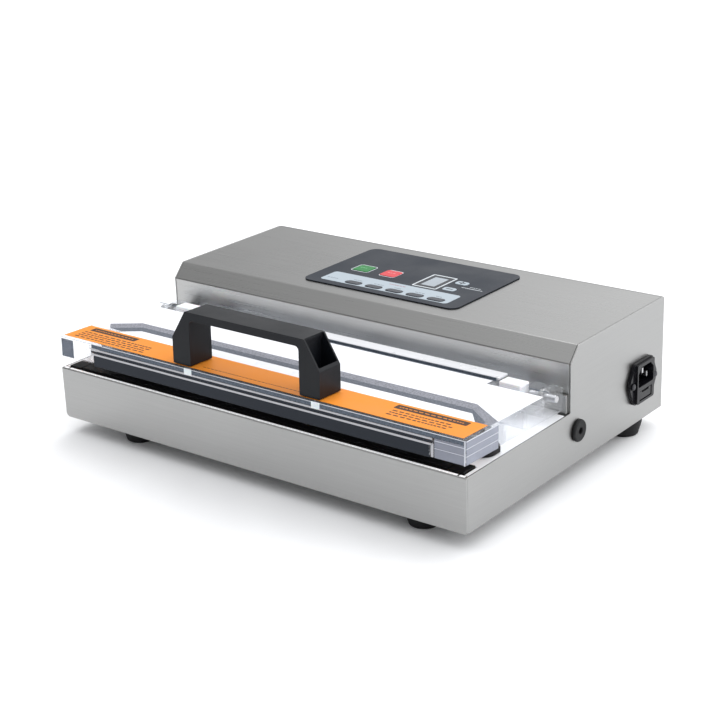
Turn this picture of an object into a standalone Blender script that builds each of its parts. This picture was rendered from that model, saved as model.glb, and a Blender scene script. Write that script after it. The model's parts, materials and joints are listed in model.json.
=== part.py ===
"""External vacuum packing machine with a clear hinged lid and a heated seal bar.

Every dimension below is in millimetres in the body frame: x = 0 is the middle of the
casing, y = 0 its front face and z = 0 the underside of its bottom plate. The mesh
helpers turn them into metres in the part frame, whose origin is on the surface the
machine stands on, under the middle of its bounding box, with the front facing -Y.
The lid is modelled closed, and its pivot empty raises it to its resting angle.
"""
import math

import bmesh
import bpy
from mathutils import Vector

MM = 0.001
GAP = 0.3                    # clearance left between touching pieces

# Casing
BODY_W = 370.0
BODY_D = 261.0
SHEET = 1.2
DECK_Z = 40.0                # top of the working deck
FACE_Y = 127.8               # front face of the rear housing
BEND_Y, BEND_Z = 138.0, 76.0  # the sloping strip runs from (FACE_Y, BEND_Z) to (BEND_Y, TOP_Z)
TOP_Z = 87.2
INNER_X = BODY_W / 2 - SHEET - GAP   # half width of the sheets between the side panels
LIP_D = 3.4                  # folded lip at the top of the front panel
CORNER_R = 3.5
LIP_NOTCH_X, LIP_NOTCH_W = 177.5, 1.2   # bend reliefs in the lip
SLOT_W = 3.5                 # cooling slots in the rear panel and the bottom plate
REAR_SLOTS, REAR_SLOT_X, REAR_SLOT_PITCH = 10, -140.0, 9.0
BASE_SLOTS, BASE_SLOT_X, BASE_SLOT_PITCH = 8, -60.0, 12.0

# Feet
FOOT_H = 13.0
FOOT_TOP_R, FOOT_BASE_R = 13.5, 11.0
FEET = {
    "front_left": (-128.0, 22.0),
    "front_right": (136.0, 22.0),
    "rear_left": (-171.0, 229.0),
    "rear_right": (171.0, 229.0),
}

# Power inlet and accessory port, both on the right side panel
INLET_Y, INLET_Z = 226.9, 32.6
INLET_REACH = 4.8
INLET_FLANGE_T = 2.8
INLET_W, INLET_H = 25.2, 30.4
INLET_EAR = 19.6             # from the inlet's middle to the tip of each ear
INLET_SCREW_SPAN = 16.2
SOCKET_W, SOCKET_CUT = 22.4, 4.5
SOCKET_BASE, SOCKET_TOP = 30.3, 45.4
DRAWER_W, DRAWER_BASE, DRAWER_TOP = 17.4, 19.6, 26.8
PORT_Y, PORT_Z = 137.5, 24.3
PORT_R, PORT_T, PORT_BORE = 8.2, 2.8, 2.4

CENTRE_X = INLET_REACH / 2   # middle of the bounding box, from the middle of the casing

# Vacuum chamber: the outer outline of the seal ring on the deck
RING_X, RING_FRONT, RING_CORNER_R = 181.0, 30.5, 9.0
RING_SIDE_END, RING_REAR_X, RING_REAR = 46.0, 159.0, 67.5
GASKET_W = 7.0
TROUGH_X = 166.0
TROUGH_FRONT, TROUGH_REAR = 40.5, 57.5
TROUGH_FLOOR = 20.0
SPIGOT_X, SPIGOT_Z = 60.0, 28.0
SPIGOT_R, SPIGOT_BORE = 4.0, 2.4

# Seal bar, in the deck's front edge
BAR_X = 168.0
BAR_END_X = 180.4
BAR_FRONT, BAR_REAR = 4.0, 18.1
BAR_BASE_Z, BAR_TOP_Z = 24.0, 40.3

# Lid, closed
LID_X = 184.5
LID_FRONT, LID_REAR = 1.0, 118.0
LID_BASE, LID_TOP = 45.8, 61.9
LID_CEILING = 58.4           # underside of the lid's top plate
LID_WALL = 3.0
HINGE_Y, HINGE_Z = 111.0, 56.0
LID_REST_DEG = 1.8           # the lid rests this far open on its seals
PIN_R, PIN_CLEAR_R = 2.5, 2.8
ARM_INNER, ARM_OUTER = 171.6, 174.6
NOTCH_LEFT, NOTCH_RIGHT = -152.0, 156.0
NOTCH_REAR, NOTCH_TOP = 14.0, 54.2
BLOCK_INNER, BLOCK_OUTER = 143.0, 161.0
BLOCK_FRONT, BLOCK_REAR = 101.5, 113.5
KNUCKLE_X, KNUCKLE_FRONT, KNUCKLE_TOP = 162.0, 106.0, 63.2   # raised ends of the lid over the pins

# Handle
HANDLE_LEFT, HANDLE_RIGHT = -69.3, 65.2
HANDLE_FRONT, HANDLE_REAR = 3.2, 25.8
HANDLE_BASE = LID_TOP + 3 * GAP
HANDLE_H = 40.2
LEG_W = 16.8
CHAMFER_X, CHAMFER_Z = 13.0, 20.8
GRIP_T = 6.0
LEG_WALL = 2.2
LEG_RIM = 1.4
HANDLE_SCREWS_X = (-60.0, 56.5)
HANDLE_SCREW_Y = 9.5

# Control panel
PANEL_LEFT, PANEL_RIGHT = -72.0, 72.0
PANEL_FRONT, PANEL_REAR = 152.5, 246.5
PANEL_R = 7.5
PANEL_BASE = TOP_Z + GAP
PANEL_T = 0.6
KEY_BASE, KEY_TOP = 86.6, 88.5
KEYS = {                     # name: (centre x, centre y, width, depth, corner radius)
    "key_start": (-44.5, 197.3, 14.5, 13.5, 2.0),
    "key_stop": (-18.3, 197.3, 14.5, 13.5, 2.0),
    "key_plus": (42.5, 206.0, 11.0, 7.0, 2.4),
    "key_minus": (42.3, 189.2, 11.0, 7.0, 2.4),
}
PROGRAM_KEYS, PROGRAM_X, PROGRAM_PITCH, PROGRAM_Y = 5, -29.9, 19.3, 164.3
for index in range(PROGRAM_KEYS):
    KEYS[f"key_program_{index + 1}"] = (PROGRAM_X + PROGRAM_PITCH * index, PROGRAM_Y, 13.5, 5.6, 2.7)
WINDOW = (22.3, 198.6, 18.6, 26.6, 2.0)
KEY_TRAVEL = 0.6
BOARD_TOP, BOARD_T = 80.6, 1.6
STANDOFF_R, SWITCH_R = 2.5, 2.6

# Transformer for the heating ribbon, behind the deck
TRANSFORMER = (-129.0, 213.0)
CORE_W, CORE_D, TRANSFORMER_TOP = 62.0, 46.0, 52.0

# Vacuum pump, behind the deck
PUMP_Y, PUMP_Z = 215.0, 26.0
MOTOR_LEFT, MOTOR_RIGHT, MOTOR_R = -40.0, 25.0, 20.0
CRANK_LEFT, CRANK_RIGHT, CRANK_TOP = 28.0, 70.0, 50.0
CRANK_ROOM_R = 16.0
ECCENTRIC_R, ECCENTRIC_THROW = 8.0, 4.0
HEAD_X, HEAD_Z = 49.0, 56.0
HEAD_HALF, HEAD_TOP = 15.0, 64.0
SHAFT_R = 2.5
VALVE_HALF, VALVE_D = 10.0, 20.0

COLOURS = {                  # slot: (base colour, roughness, metallic)
    "steel": ((0.62, 0.61, 0.59), 0.32, 1.0),
    "white_deck": ((0.86, 0.87, 0.89), 0.35, 0.0),
    "black_rubber": ((0.02, 0.02, 0.022), 0.7, 0.0),
    "black_plastic": ((0.016, 0.018, 0.024), 0.42, 0.0),
    "gloss_black": ((0.01, 0.01, 0.012), 0.2, 0.0),
    "clear": ((0.85, 0.88, 0.92), 0.05, 0.0),
    "white_plastic": ((0.85, 0.85, 0.86), 0.4, 0.0),
    "label": ((0.93, 0.34, 0.07), 0.45, 0.0),
    "overlay": ((0.09, 0.10, 0.125), 0.4, 0.0),
    "green": ((0.012, 0.26, 0.045), 0.4, 0.0),
    "red": ((0.74, 0.06, 0.07), 0.4, 0.0),
    "pale_key": ((0.09, 0.10, 0.125), 0.4, 0.0),
    "screen": ((0.62, 0.68, 0.70), 0.15, 0.0),
    "board": ((0.02, 0.17, 0.06), 0.5, 0.0),
    "zinc": ((0.55, 0.55, 0.56), 0.35, 1.0),
    "nichrome": ((0.42, 0.40, 0.38), 0.4, 1.0),
    "ptfe": ((0.02, 0.02, 0.022), 0.5, 0.0),
    "grey_foam": ((0.12, 0.13, 0.15), 0.8, 0.0),
    "lamination": ((0.20, 0.20, 0.21), 0.5, 0.8),
    "motor_can": ((0.30, 0.30, 0.31), 0.4, 1.0),
    "cast_alloy": ((0.60, 0.60, 0.61), 0.5, 1.0),
    "hose": ((0.55, 0.57, 0.58), 0.3, 0.0),
}


# ---------------------------------------------------------------- scene and frame helpers

def clear_scene():
    for obj in list(bpy.data.objects):
        bpy.data.objects.remove(obj, do_unlink=True)


def part_frame(point):
    """Body-frame millimetres to part-frame metres."""
    x, y, z = point
    return Vector(((x - CENTRE_X) * MM, (y - BODY_D / 2) * MM, (z + FOOT_H) * MM))


def material(slot):
    found = bpy.data.materials.get(slot)
    if found:
        return found
    colour, roughness, metallic = COLOURS[slot]
    made = bpy.data.materials.new(slot)
    made.use_nodes = True
    shader = made.node_tree.nodes["Principled BSDF"]
    shader.inputs["Base Color"].default_value = (*colour, 1.0)
    shader.inputs["Roughness"].default_value = roughness
    shader.inputs["Metallic"].default_value = metallic
    return made


def place(name, bm, origin, parent):
    """Turn a body-frame bmesh into an object whose origin is at a body-frame point."""
    base = Vector(origin)
    for vert in bm.verts:
        vert.co = (vert.co - base) * MM
    bmesh.ops.recalc_face_normals(bm, faces=bm.faces)
    mesh = bpy.data.meshes.new(name)
    bm.to_mesh(mesh)
    bm.free()
    obj = bpy.data.objects.new(name, mesh)
    bpy.context.scene.collection.objects.link(obj)
    if parent is None:
        obj.location = part_frame(origin)
    else:
        obj.parent = parent
    return obj


def solid(name, slot, bm, cuts=(), joins=(), origin=(0.0, 0.0, 0.0), parent=None, smooth=False):
    """One node: a base shape, with shapes joined to it and then cut out of it."""
    obj = place(name, bm, origin, parent)
    tools = [("UNION", tool) for tool in joins] + [("DIFFERENCE", tool) for tool in cuts]
    for number, (operation, tool) in enumerate(tools):
        cutter = place(f"{name}_tool_{number}", tool, origin, parent)
        cutter.hide_render = True
        cutter.display_type = "WIRE"
        modifier = obj.modifiers.new(f"tool_{number}", "BOOLEAN")
        modifier.operation = operation
        modifier.solver = "EXACT"
        modifier.object = cutter
    obj.data.materials.append(material(slot))
    if smooth:
        obj.data.shade_smooth()
        obj.data.set_sharp_from_angle(angle=math.radians(35))
    return obj


# ---------------------------------------------------------------- shape helpers

def prism(outline, axis, low, high):
    """Extrude a closed outline along an axis; its points are the other two axes in X, Y, Z order."""
    bm = bmesh.new()
    order = {"X": (2, 0, 1), "Y": (0, 2, 1), "Z": (0, 1, 2)}[axis]

    def point(a, b, c):
        values = (a, b, c)
        return Vector([values[i] for i in order])

    face = bm.faces.new([bm.verts.new(point(a, b, low)) for a, b in outline])
    grown = bmesh.ops.extrude_face_region(bm, geom=[face])
    step = point(0.0, 0.0, high - low)
    for item in grown["geom"]:
        if isinstance(item, bmesh.types.BMVert):
            item.co += step
    return bm


def box(x0, x1, y0, y1, z0, z1, edge=0.0):
    """A box, with its edges chamfered when edge is more than zero."""
    bm = prism([(x0, y0), (x1, y0), (x1, y1), (x0, y1)], "Z", z0, z1)
    if edge > 0:
        bmesh.ops.bevel(bm, geom=bm.edges[:], offset=edge, segments=1, affect="EDGES")
    return bm


def arc(cx, cy, radius, start, end, steps):
    """Points on an arc, with its angles in degrees."""
    points = []
    for i in range(steps + 1):
        angle = math.radians(start + (end - start) * i / steps)
        points.append((cx + radius * math.cos(angle), cy + radius * math.sin(angle)))
    return points


def rounded_rect(cx, cy, width, depth, radius, steps=4):
    points = []
    for sx, sy, start in ((1, -1, -90), (1, 1, 0), (-1, 1, 90), (-1, -1, 180)):
        corner_x = cx + sx * (width / 2 - radius)
        corner_y = cy + sy * (depth / 2 - radius)
        points += arc(corner_x, corner_y, radius, start, start + 90, steps)
    return points


def fillet(points, radii, steps=4):
    """Round the corners of a closed outline; a radius of zero leaves its corner sharp."""
    result = []
    count = len(points)
    for i, radius in enumerate(radii):
        here = Vector(points[i])
        if radius <= 0:
            result.append(tuple(here))
            continue
        back = (Vector(points[i - 1]) - here).normalized()
        ahead = (Vector(points[(i + 1) % count]) - here).normalized()
        half = back.angle(ahead) / 2
        centre = here + (back + ahead).normalized() * radius / math.sin(half)
        first = here + back * radius / math.tan(half) - centre
        last = here + ahead * radius / math.tan(half) - centre
        turn = first.angle_signed(last)
        start = math.atan2(first.y, first.x)
        for k in range(steps + 1):
            angle = start - turn * k / steps
            result.append((centre.x + radius * math.cos(angle), centre.y + radius * math.sin(angle)))
    return result


def inset(outline, distance):
    """Move every side of a convex anticlockwise outline inwards."""
    result = []
    count = len(outline)
    for i in range(count):
        a, b, c = (Vector(outline[(i + k) % count]) for k in (-1, 0, 1))
        before = (b - a).normalized()
        after = (c - b).normalized()
        normal_before = Vector((-before.y, before.x))
        normal_after = Vector((-after.y, after.x))
        mid = (normal_before + normal_after).normalized()
        result.append(tuple(b + mid * distance / mid.dot(normal_after)))
    return result


def lathe(profile, axis, centre, steps=24):
    """Spin a closed (radius, position) profile about an axis through a body-frame point."""
    bm = bmesh.new()
    order = {"X": (2, 0, 1), "Y": (0, 2, 1), "Z": (0, 1, 2)}[axis]
    rings = []
    for i in range(steps):
        angle = 2 * math.pi * (i + 0.5) / steps
        ring = []
        for radius, position in profile:
            values = (radius * math.cos(angle), radius * math.sin(angle), position)
            point = Vector([values[k] for k in order]) + Vector(centre)
            ring.append(bm.verts.new(point))
        rings.append(ring)
    for i in range(steps):
        ring, following = rings[i], rings[(i + 1) % steps]
        for k in range(len(profile)):
            m = (k + 1) % len(profile)
            bm.faces.new((ring[k], ring[m], following[m], following[k]))
    bmesh.ops.remove_doubles(bm, verts=bm.verts[:], dist=1e-4)
    return bm


def cylinder(radius, axis, centre, low, high, steps=24):
    return lathe([(0.0, low), (radius, low), (radius, high), (0.0, high)], axis, centre, steps)


def bevel_where(bm, test, offset, steps):
    """Round the edges whose two ends both pass a test."""
    edges = [edge for edge in bm.edges if all(test(vert.co) for vert in edge.verts)]
    bmesh.ops.bevel(bm, geom=edges, offset=offset, segments=steps, profile=0.5, affect="EDGES")
    return bm


def ring_outline(distance=0.0):
    """The chamber's outline, moved inwards: round front corners and cut rear corners."""
    corner_y = RING_FRONT + RING_CORNER_R
    corner_x = RING_X - RING_CORNER_R
    points = arc(-corner_x, corner_y, RING_CORNER_R, 180, 270, 5)
    points += arc(corner_x, corner_y, RING_CORNER_R, 270, 360, 5)
    points += [(RING_X, RING_SIDE_END), (RING_REAR_X, RING_REAR)]
    points += [(-RING_REAR_X, RING_REAR), (-RING_X, RING_SIDE_END)]
    return inset(points, distance)


# ---------------------------------------------------------------- casing

def make_side_panels():
    front = SHEET + GAP
    outline = [(front, 0), (BODY_D, 0), (BODY_D, TOP_Z), (BEND_Y, TOP_Z),
               (FACE_Y, BEND_Z), (FACE_Y, DECK_Z), (front, DECK_Z)]
    outline = fillet(outline, [CORNER_R / 2, 0, 1.0, 2.0, 2.0, 0.6, 0.5])
    inner = BODY_W / 2 - SHEET
    solid("side_panel_left", "steel", prism(outline, "X", -BODY_W / 2, -inner))
    cuts = [
        box(inner - 1, BODY_W / 2 + 1, INLET_Y - 12.4, INLET_Y + 12.4, INLET_Z - 14.8, INLET_Z + 14.8),
        cylinder(5.0, "X", (0, PORT_Y, PORT_Z), inner - 1, BODY_W / 2 + 1),
    ]
    for side in (-1, 1):
        centre = (0, INLET_Y + side * INLET_SCREW_SPAN, INLET_Z)
        cuts.append(cylinder(1.8, "X", centre, inner - 1, BODY_W / 2 + 1, 16))
    solid("side_panel_right", "steel", prism(outline, "X", inner, BODY_W / 2), cuts)


def make_front_panel():
    """A sheet over the casing's full width, with a folded lip between the side panels."""
    edge = BODY_W / 2
    sheet = prism(fillet([(0, 0), (SHEET, 0), (SHEET, DECK_Z), (0, DECK_Z)], [0, 0, 0, 1.1]), "X", -edge, edge)
    bevel_where(sheet, lambda co: co.x < -edge + 0.01 and co.z < 0.01, CORNER_R, 5)
    bevel_where(sheet, lambda co: co.x > edge - 0.01 and co.z < 0.01, CORNER_R / 2, 4)
    lip = box(-INNER_X, INNER_X, SHEET / 2, LIP_D, DECK_Z - SHEET, DECK_Z)
    reliefs = []
    for sign in (-1, 1):
        left, right = sorted((sign * LIP_NOTCH_X, sign * (LIP_NOTCH_X + LIP_NOTCH_W)))
        reliefs.append(box(left, right, SHEET + 0.1, LIP_D + 1, DECK_Z - SHEET - 1, DECK_Z + 1))
    solid("front_panel", "steel", sheet, reliefs, [lip])


def make_deck():
    arm = BAR_END_X + 2 * GAP
    rear = FACE_Y - GAP
    notch_y, notch_x = 122.2, 176.8
    bar_edge = BAR_REAR + GAP
    front = LIP_D + GAP
    right = [(arm, bar_edge), (arm, front), (INNER_X, front), (INNER_X, notch_y),
             (notch_x, notch_y), (notch_x, rear)]
    left = [(-x, y) for x, y in reversed(right)]
    middle_y = (TROUGH_FRONT + TROUGH_REAR) / 2
    mouth = rounded_rect(0, middle_y, 2 * TROUGH_X, TROUGH_REAR - TROUGH_FRONT, 5.0)
    solid("deck_plate", "white_deck", prism(right + left, "Z", DECK_Z - SHEET, DECK_Z),
          [prism(mouth, "Z", DECK_Z - 5, DECK_Z + 5)])


def make_housing_cover():
    skirt = DECK_Z - 4
    end = BODY_D - SHEET - GAP - 0.1
    slope = math.atan2(TOP_Z - BEND_Z, BEND_Y - FACE_Y)
    inner_low = BEND_Z - SHEET * math.tan((math.pi / 2 - slope) / 2)
    inner_high = BEND_Y + SHEET * math.tan(slope / 2)
    outline = [(FACE_Y, skirt), (FACE_Y + SHEET, skirt), (FACE_Y + SHEET, inner_low),
               (inner_high, TOP_Z - SHEET), (end, TOP_Z - SHEET), (end, TOP_Z),
               (BEND_Y, TOP_Z), (FACE_Y, BEND_Z)]
    outline = fillet(outline, [0, 0, 0.8, 0.8, 0, 0, 2.0, 2.0])
    window = box(-64, 61, 158, 242, TOP_Z - 5, TOP_Z + 5)
    solid("housing_cover", "steel", prism(outline, "X", -INNER_X, INNER_X), [window])


def make_rear_panel():
    slots = []
    for i in range(REAR_SLOTS):
        x = REAR_SLOT_X + REAR_SLOT_PITCH * i
        slots.append(box(x, x + SLOT_W, BODY_D - 5, BODY_D + 5, 28, 58))
    plate = box(-INNER_X, INNER_X, BODY_D - SHEET, BODY_D, 0, TOP_Z)
    solid("rear_panel", "steel", plate, slots)


def make_bottom_plate():
    cuts = [cylinder(2.3, "Z", (x, y, 0), -5, 5, 16) for x, y in FEET.values()]
    for i in range(BASE_SLOTS):
        x = BASE_SLOT_X + BASE_SLOT_PITCH * i
        cuts.append(box(x, x + SLOT_W, 170, 200, -5, 5))
    plate = box(-INNER_X, INNER_X, SHEET + GAP, BODY_D - SHEET - GAP, 0, SHEET)
    solid("bottom_plate", "steel", plate, cuts)


def make_feet():
    foot = [(2.4, -GAP), (FOOT_TOP_R, -GAP), (FOOT_TOP_R, -3.0), (FOOT_BASE_R, -FOOT_H + 0.8),
            (FOOT_BASE_R - 0.8, -FOOT_H), (5.5, -FOOT_H), (5.5, -7.0), (2.4, -7.0)]
    screw = [(0, -10.2), (3.4, -10.2), (4.2, -9.2), (4.2, -7.3), (2.0, -7.3), (2.0, 6.0), (0, 6.0)]
    for where, (x, y) in FEET.items():
        solid(f"foot_{where}", "black_rubber", lathe(foot, "Z", (x, y, 0), 32), smooth=True)
        solid(f"foot_screw_{where}", "zinc", lathe(screw, "Z", (x, y, 0), 16), smooth=True)


# ---------------------------------------------------------------- chamber and seal bar

def make_trough():
    flange = box(-TROUGH_X - 9, TROUGH_X + 9, TROUGH_FRONT - 7, TROUGH_REAR + 7, 37.3, 38.5)
    middle_y = (TROUGH_FRONT + TROUGH_REAR) / 2
    depth = TROUGH_REAR - TROUGH_FRONT
    tray = rounded_rect(0, middle_y, 2 * TROUGH_X + 6, depth + 6, 6.0)
    cavity = rounded_rect(0, middle_y, 2 * TROUGH_X + 2, depth + 2, 4.0)
    back = TROUGH_REAR + 3
    spigot = cylinder(SPIGOT_R, "Y", (SPIGOT_X, 0, SPIGOT_Z), back - 1, back + 9.5)
    bore = cylinder(SPIGOT_BORE, "Y", (SPIGOT_X, 0, SPIGOT_Z), TROUGH_REAR - 3, back + 12, 16)
    solid("vacuum_trough", "white_deck", prism(tray, "Z", TROUGH_FLOOR, 38.5),
          [prism(cavity, "Z", TROUGH_FLOOR + 2, 45), bore], [flange, spigot])


def make_deck_gasket():
    ring = prism(ring_outline(), "Z", DECK_Z + GAP, LID_BASE - GAP)
    hole = prism(ring_outline(GASKET_W), "Z", DECK_Z - 5, LID_BASE + 5)
    solid("deck_gasket", "black_rubber", ring, [hole])


def make_seal_bar():
    solid("seal_bar_body", "black_plastic",
          box(-BAR_X, BAR_X, BAR_FRONT, BAR_REAR, BAR_BASE_Z, BAR_TOP_Z, 0.4))
    ribbon_z = BAR_TOP_Z + GAP
    solid("heating_ribbon", "nichrome", box(-BAR_X + 2, BAR_X - 2, 8.4, 13.4, ribbon_z, ribbon_z + 0.3))
    cover_z = ribbon_z + 0.3 + GAP
    solid("ptfe_cover", "ptfe", box(-BAR_X + 0.5, BAR_X - 0.5, 4.6, 17.2, cover_z, cover_z + 0.3))
    for side, name in ((-1, "left"), (1, "right")):
        inner, outer = sorted((side * (BAR_X + GAP), side * BAR_END_X))
        solid(f"seal_bar_end_{name}", "black_plastic",
              box(inner, outer, BAR_FRONT, BAR_REAR, BAR_BASE_Z, BAR_TOP_Z + 0.9, 0.5))


# ---------------------------------------------------------------- lid

def make_pivot():
    pivot = bpy.data.objects.new("lid_pivot", None)
    bpy.context.scene.collection.objects.link(pivot)
    pivot.location = part_frame((0, HINGE_Y, HINGE_Z))
    pivot.rotation_euler.x = -math.radians(LID_REST_DEG)
    return pivot


def lid_solid(pivot, name, slot, bm, cuts=(), joins=(), smooth=False):
    return solid(name, slot, bm, cuts, joins, (0, HINGE_Y, HINGE_Z), pivot, smooth)


def lid_pockets():
    """Hollows in the underside of the lid, between its ribs."""
    floor = LID_BASE - 1
    cuts = [prism(ring_outline(8.0), "Z", floor, LID_CEILING)]
    cuts.append(box(-178, 178, 17.5, RING_FRONT - LID_WALL, floor, LID_CEILING))
    side = LID_X - LID_WALL
    for sign in (-1, 1):
        triangle = [(sign * side, 49.0), (sign * side, 73.0), (sign * 156.5, 73.0)]
        cuts.append(prism(triangle, "Z", floor, LID_CEILING))
    half_rib, block_x, block_y, rear = 1.25, 139.0, 98.5, LID_REAR - LID_WALL
    for sign in (-1, 1):
        pocket = [(half_rib, 76.0), (side, 76.0), (side, block_y), (block_x, block_y),
                  (block_x, rear), (half_rib, rear)]
        cuts.append(prism([(sign * x, y) for x, y in pocket], "Z", floor, LID_CEILING))
    return cuts


def make_lid_shell(pivot):
    shell = box(-LID_X, LID_X, LID_FRONT, LID_REAR, LID_BASE, LID_TOP)
    top = LID_TOP - 0.01
    bevel_where(shell, lambda co: co.z > top, 1.2, 3)
    cuts = lid_pockets()
    cuts.append(box(NOTCH_LEFT, NOTCH_RIGHT, LID_FRONT - 2, NOTCH_REAR, LID_BASE - 2, NOTCH_TOP))
    for sign in (-1, 1):
        inner, outer = sorted((sign * (ARM_INNER - 0.6), sign * (ARM_OUTER + 0.6)))
        cuts.append(box(inner, outer, HINGE_Y - 7.5, LID_REAR + 2, LID_BASE - 2, LID_TOP + 2))
        bore = sorted((sign * 162.7, sign * (LID_X + 1)))
        cuts.append(cylinder(PIN_CLEAR_R, "X", (0, HINGE_Y, HINGE_Z), *bore))
        left, right = sorted((sign * (BLOCK_INNER - GAP), sign * (BLOCK_OUTER + GAP)))
        cuts.append(box(left, right, BLOCK_FRONT - GAP, BLOCK_REAR + GAP, 50.0, LID_TOP + 2))
    knuckles = []
    for sign in (-1, 1):
        left, right = sorted((sign * KNUCKLE_X, sign * LID_X))
        knuckles.append(box(left, right, KNUCKLE_FRONT, LID_REAR, LID_TOP - 4, KNUCKLE_TOP, 0.6))
    for x in HANDLE_SCREWS_X:
        centre = (x, HANDLE_SCREW_Y, 0)
        cuts.append(cylinder(2.3, "Z", centre, NOTCH_TOP - 1, LID_TOP + 1, 16))
        cuts.append(cylinder(4.3, "Z", centre, NOTCH_TOP - 1, NOTCH_TOP + 3.2, 20))
    groove = prism(ring_outline(1.7), "Z", LID_BASE - 1, LID_BASE + 3.2)
    lid_solid(pivot, "lid_shell", "clear", shell, cuts + [groove], knuckles, smooth=True)


def make_lid_seals(pivot):
    ring = prism(ring_outline(2.0), "Z", LID_BASE + 0.1, LID_BASE + 2.9)
    lid_solid(pivot, "lid_gasket", "grey_foam", ring, [prism(ring_outline(6.0), "Z", 40, 60)])
    low = LID_BASE - 2.6
    holder = box(NOTCH_LEFT + 0.5, NOTCH_RIGHT - 0.5, 2.2, NOTCH_REAR - 0.7, low, NOTCH_TOP - GAP, 0.4)
    channel = box(NOTCH_LEFT - 5, NOTCH_RIGHT + 5, 5.2, 10.4, low - 2, low + 4.3)
    lid_solid(pivot, "press_bar_holder", "black_plastic", holder, [channel])
    strip = box(NOTCH_LEFT + 1.5, NOTCH_RIGHT - 1.5, 5.5, 10.1, 41.85, low + 4.0, 0.5)
    lid_solid(pivot, "press_strip", "black_rubber", strip)


def make_handle(pivot):
    base, top = HANDLE_BASE, HANDLE_BASE + HANDLE_H
    left, right = HANDLE_LEFT, HANDLE_RIGHT
    gap_left, gap_right = left + LEG_W, right - LEG_W - 1.0
    outline = [(left, base), (gap_left, base), (gap_left, top - GRIP_T), (gap_right, top - GRIP_T),
               (gap_right, base), (right, base), (right, top - CHAMFER_Z), (right - CHAMFER_X, top),
               (left + CHAMFER_X, top), (left, top - CHAMFER_Z)]
    outline = fillet(outline, [0.5, 0.5, 3.0, 3.0, 0.5, 0.5, 1.2, 1.5, 1.5, 1.2], 3)
    bridge = prism(outline, "Y", HANDLE_FRONT, HANDLE_REAR)
    cuts = []
    pocket_y = (HANDLE_FRONT + LEG_RIM, HANDLE_REAR - LEG_RIM)
    floor = base + 8.0
    for inner, outer, sign in ((gap_left, left, -1), (gap_right, right, 1)):
        lip = outer - sign * (CHAMFER_X + 0.5)
        pocket = [(inner + sign * LEG_WALL, floor), (outer - sign * LEG_RIM, floor),
                  (outer - sign * LEG_RIM, top + 5), (lip, top + 5), (lip, top - 2.5),
                  (inner + sign * LEG_WALL, top - GRIP_T - 1)]
        cuts.append(prism(pocket, "Y", *pocket_y))
    for x in HANDLE_SCREWS_X:
        cuts.append(cylinder(2.3, "Z", (x, HANDLE_SCREW_Y, 0), base - 1, base + 6.4, 16))
    lid_solid(pivot, "lid_handle", "black_plastic", bridge, cuts)
    for x, name in zip(HANDLE_SCREWS_X, ("left", "right")):
        head = NOTCH_TOP + 0.4
        profile = [(0, head), (3.8, head), (3.8, head + 2.4), (1.9, head + 2.4),
                   (1.9, base + 6.0), (0, base + 6.0)]
        screw = lathe(profile, "Z", (x, HANDLE_SCREW_Y, 0), 16)
        lid_solid(pivot, f"handle_screw_{name}", "zinc", screw, smooth=True)


def make_lid_trim(pivot):
    base = LID_TOP + GAP
    sticker = box(-182.5, 181.0, 3.2, 30.8, base, base + 0.25)
    holes = [cylinder(2.6, "Z", (x, HANDLE_SCREW_Y, 0), base - 1, base + 1, 16) for x in HANDLE_SCREWS_X]
    lid_solid(pivot, "lid_sticker", "label", sticker, holes)
    strip = box(-141, 141, 105.5, 117.0, base, base + 2.2, 0.5)
    lid_solid(pivot, "lid_rear_strip", "clear", strip)
    for sign, name in ((-1, "left"), (1, "right")):
        left, right = sorted((sign * BLOCK_INNER, sign * BLOCK_OUTER))
        block = box(left, right, BLOCK_FRONT, BLOCK_REAR, 50.3, LID_TOP + 1.8, 0.8)
        lid_solid(pivot, f"lid_stop_block_{name}", "white_plastic", block)


def make_hinges():
    for sign, name in ((-1, "left"), (1, "right")):
        pin_low, pin_high = sorted((sign * 163.0, sign * 184.2))
        pin = cylinder(PIN_R, "X", (0, HINGE_Y, HINGE_Z), pin_low, pin_high)
        solid(f"hinge_pin_{name}", "zinc", pin, origin=(0, HINGE_Y, HINGE_Z), smooth=True)
        low, high = sorted((sign * ARM_INNER, sign * ARM_OUTER))
        wide_low, wide_high = sorted((sign * ARM_INNER, sign * (INNER_X - GAP)))
        leg_low, leg_high = sorted((sign * 177.4, sign * (INNER_X - GAP)))
        arm = [(126.8, 44.0), (126.8, 54.0)] + arc(HINGE_Y, HINGE_Z, 5.2, 80, 280, 8)
        flange = box(wide_low, wide_high, 124.6, 127.2, 42.5, 54.0)
        leg = box(leg_low, leg_high, 124.6, 127.2, 2.5, 43.0)
        foot = box(leg_low, leg_high, 125.2, 140.0, SHEET + GAP, 4.0)
        hole = cylinder(PIN_CLEAR_R, "X", (0, HINGE_Y, HINGE_Z), low - 2, high + 2)
        bracket = prism(arm, "X", low, high)
        solid(f"hinge_bracket_{name}", "steel", bracket, [hole], [flange, leg, foot])


# ---------------------------------------------------------------- controls

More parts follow.
